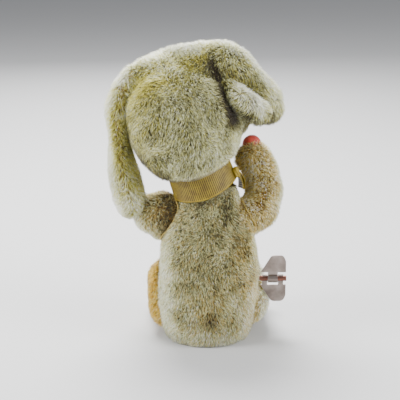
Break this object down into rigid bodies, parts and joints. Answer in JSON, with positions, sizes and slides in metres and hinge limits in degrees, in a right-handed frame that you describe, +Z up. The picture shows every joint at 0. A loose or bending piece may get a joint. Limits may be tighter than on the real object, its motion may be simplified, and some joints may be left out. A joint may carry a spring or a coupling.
{
  "type": "clockwork puppy",
  "caption": "Seated plush-covered clockwork puppy with long floppy ears, a neck ribbon, a butterfly winding key, a ball at one raised paw, and a spring movement inside a tin body.",
  "frame": {"origin": "centre of the underside of the round base plate, on the surface the toy stands on", "axes": "+Z up, the puppy faces -Y, its right side and winding key are on -X"},
  "size_m": [0.1069, 0.0927, 0.1764],
  "materials": {
    "tin": "plain tinplate, semi-matte",
    "steel": "rolled steel, lightly oiled",
    "spring_steel": "blued spring steel",
    "nickel": "worn nickel plate",
    "brass": "turned brass",
    "plush_back": "tipped mohair-type plush, olive and cream",
    "plush_gold": "tipped plush, golden brown",
    "plush_cream": "short cream plush",
    "ribbon": "yellow grosgrain",
    "ball_red": "dusty red paint",
    "eye": "dark amber with black pupil",
    "nose_black": "black",
    "felt": "red felt",
    "wood": "turned softwood"
  },
  "bodies": {
    "seat": {"base_plate": "tin", "shell_left": "tin", "shell_right": "tin", "top_cap": "tin", "neck_bushing": "brass", "arm_bushings": "brass", "jacket": "plush_back", "leg_left": "plush_gold", "leg_right": "plush_gold", "frame_plate_left": "steel", "frame_plate_right": "steel", "frame_pillars": "steel", "pillar_nuts": "steel", "base_screws": "steel", "mainspring": "spring_steel", "key_eyelet": "nickel"},
    "winding_key": {"key_wing_upper": "nickel", "key_wing_lower": "nickel", "key_shaft": "nickel", "winding_arbor": "steel", "ratchet_wheel": "steel"},
    "great_wheel": {"great_wheel": "brass", "click": "steel", "click_spring": "spring_steel", "click_rivet": "steel"},
    "second_wheel": {"second_arbor": "steel", "second_pinion": "brass", "second_wheel": "brass", "crank_disc": "steel", "crank_pin": "steel"},
    "third_wheel": {"third_arbor": "steel", "third_pinion": "brass", "star_wheel": "brass"},
    "pallet": {"pallet_arbor": "steel", "pallet_lever": "steel", "pallet_pins": "steel"},
    "arms": {"arm_shaft": "steel", "rocker_lever": "steel", "neck_finger": "steel", "arm_left": "plush_gold", "arm_right": "plush_gold", "ball": "ball_red"},
    "head": {"neck_post": "steel", "neck_arm": "steel", "neck_washer": "tin", "neck_plug": "wood", "head_plush": "plush_back", "muzzle": "plush_cream", "tongue": "felt", "nose": "nose_black", "eye_left": "eye", "eye_right": "eye", "ear_left": "plush_back", "ear_right": "plush_back", "ribbon": "ribbon", "ribbon_knot": "ribbon", "ribbon_tails": "ribbon"}
  },
  "joints": [
    {"name": "key_turn", "type": "hinge", "parent": "seat", "child": "winding_key", "pos_m": [0, 0, 0.0361], "axis": [1, 0, 0], "continuous": true},
    {"name": "great_wheel_turn", "type": "hinge", "parent": "seat", "child": "great_wheel", "pos_m": [0, 0, 0.0361], "axis": [1, 0, 0], "continuous": true},
    {"name": "second_wheel_turn", "type": "hinge", "parent": "seat", "child": "second_wheel", "pos_m": [0, 0, 0.0541], "axis": [1, 0, 0], "continuous": true},
    {"name": "third_wheel_turn", "type": "hinge", "parent": "seat", "child": "third_wheel", "pos_m": [0, -0.01247, 0.0469], "axis": [1, 0, 0], "continuous": true},
    {"name": "pallet_rock", "type": "hinge", "parent": "seat", "child": "pallet", "pos_m": [0, -0.01098, 0.05537], "axis": [1, 0, 0], "range_deg": [-6, 6]},
    {"name": "arms_swing", "type": "hinge", "parent": "seat", "child": "arms", "pos_m": [0, 0, 0.08], "axis": [1, 0, 0], "range_deg": [0, 33.6]},
    {"name": "head_turn", "type": "hinge", "parent": "seat", "child": "head", "pos_m": [0, 0, 0.092], "axis": [0, 0, 1], "range_deg": [0, 45.7]}
  ],
  "couplings": [
    {"joint": "great_wheel_turn", "follows": "key_turn", "ratio": 1},
    {"joint": "second_wheel_turn", "follows": "key_turn", "ratio": -4},
    {"joint": "third_wheel_turn", "follows": "key_turn", "ratio": 12},
    {"joint": "head_turn", "follows": "arms_swing", "ratio": 1.36}
  ]
}
